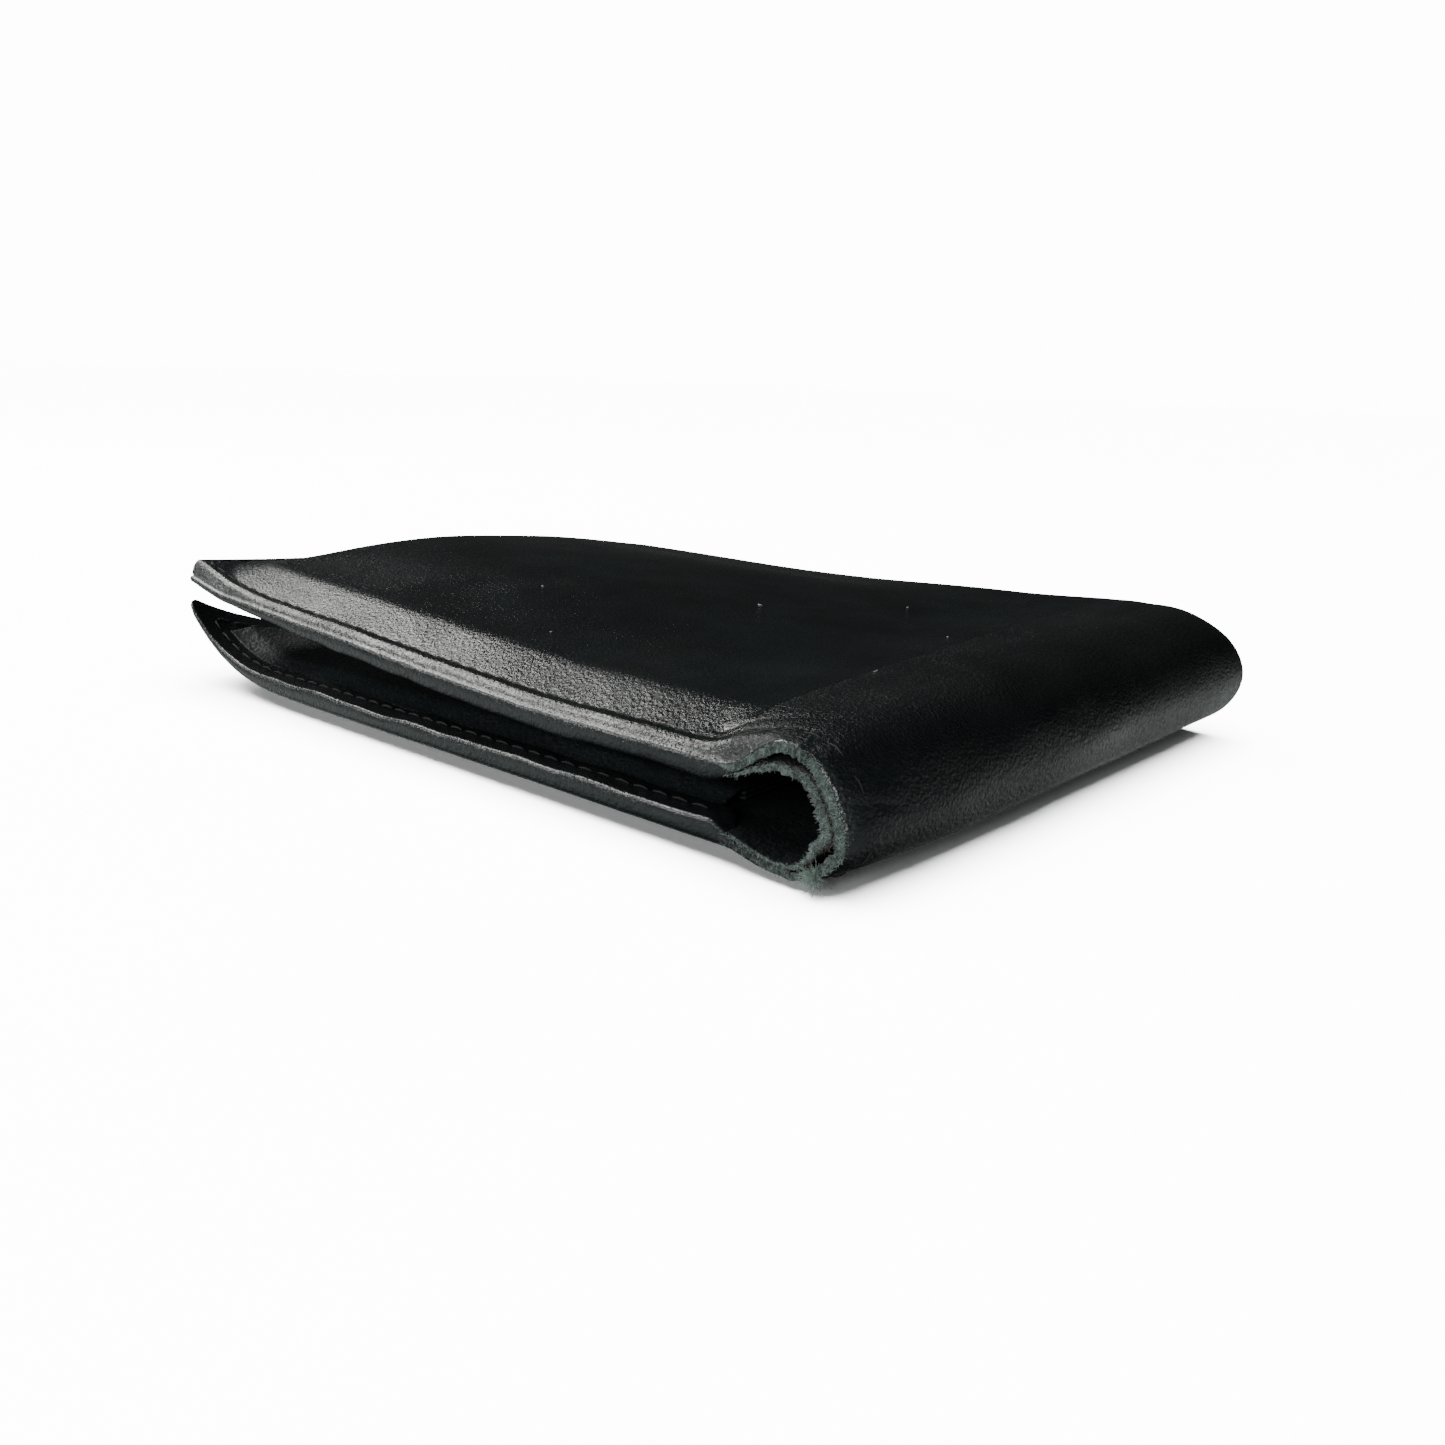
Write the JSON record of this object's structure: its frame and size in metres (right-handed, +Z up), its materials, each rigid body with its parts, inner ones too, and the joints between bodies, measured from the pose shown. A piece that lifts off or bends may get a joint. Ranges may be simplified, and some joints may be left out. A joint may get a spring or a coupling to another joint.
{
  "type": "bifold wallet",
  "caption": "Worn black leather bifold wallet, closed, with a raised card panel in each cover, a fold that opens flat and a banknote compartment.",
  "frame": {"origin": "centre of the bounding box's bottom face, on the surface that the closed wallet lies on", "axes": "+X from the open end towards the fold, +Y from the stitched edge towards the banknote opening, +Z up"},
  "size_m": [0.1284, 0.092, 0.0207],
  "materials": {
    "cover_leather": "polished black grain with a faint green-blue cast, scuffed",
    "edge_leather": "worn turned edge, semi-gloss",
    "inner_leather": "satin black grain",
    "lining": "fine black woven lining",
    "thread": "waxed black thread"
  },
  "bodies": {
    "lower_half": {"lower_cover": "cover_leather", "lower_cover_lining": "lining", "lower_bill_hem": "edge_leather", "lower_divider": "inner_leather", "lower_near_edge_turn": "edge_leather", "lower_open_edge_turn": "edge_leather", "lower_card_pocket_1": "inner_leather", "lower_card_pocket_2": "inner_leather", "lower_card_pocket_3": "inner_leather", "lower_seam_thread": "thread"},
    "spine_1": {"spine_leather_1": "cover_leather", "spine_divider_1": "inner_leather"},
    "spine_2": {"spine_leather_2": "cover_leather", "spine_divider_2": "inner_leather"},
    "spine_3": {"spine_leather_3": "cover_leather", "spine_divider_3": "inner_leather"},
    "upper_half": {"upper_cover": "cover_leather", "upper_cover_lining": "lining", "upper_bill_hem": "edge_leather", "upper_divider": "inner_leather", "upper_near_edge_turn": "edge_leather", "upper_open_edge_turn": "edge_leather", "upper_card_pocket_1": "inner_leather", "upper_card_pocket_2": "inner_leather", "upper_card_pocket_3": "inner_leather", "upper_seam_thread": "thread"}
  },
  "joints": [
    {"name": "fold_1", "type": "hinge", "parent": "lower_half", "child": "spine_1", "pos_m": [0.0544, 0, 0.00137], "axis": [0, 1, 0], "range_deg": [0, 45]},
    {"name": "fold_2", "type": "hinge", "parent": "spine_1", "child": "spine_2", "pos_m": [0.05948, 0, 0.00543], "axis": [0, 1, 0], "range_deg": [0, 45]},
    {"name": "fold_3", "type": "hinge", "parent": "spine_2", "child": "spine_3", "pos_m": [0.05948, 0, 0.01117], "axis": [0, 1, 0], "range_deg": [0, 45]},
    {"name": "fold_4", "type": "hinge", "parent": "spine_3", "child": "upper_half", "pos_m": [0.0544, 0, 0.01523], "axis": [0, 1, 0], "range_deg": [0, 45]}
  ],
  "couplings": [
    {"joint": "fold_1", "follows": "fold_4", "ratio": 1},
    {"joint": "fold_2", "follows": "fold_4", "ratio": 1},
    {"joint": "fold_3", "follows": "fold_4", "ratio": 1}
  ]
}
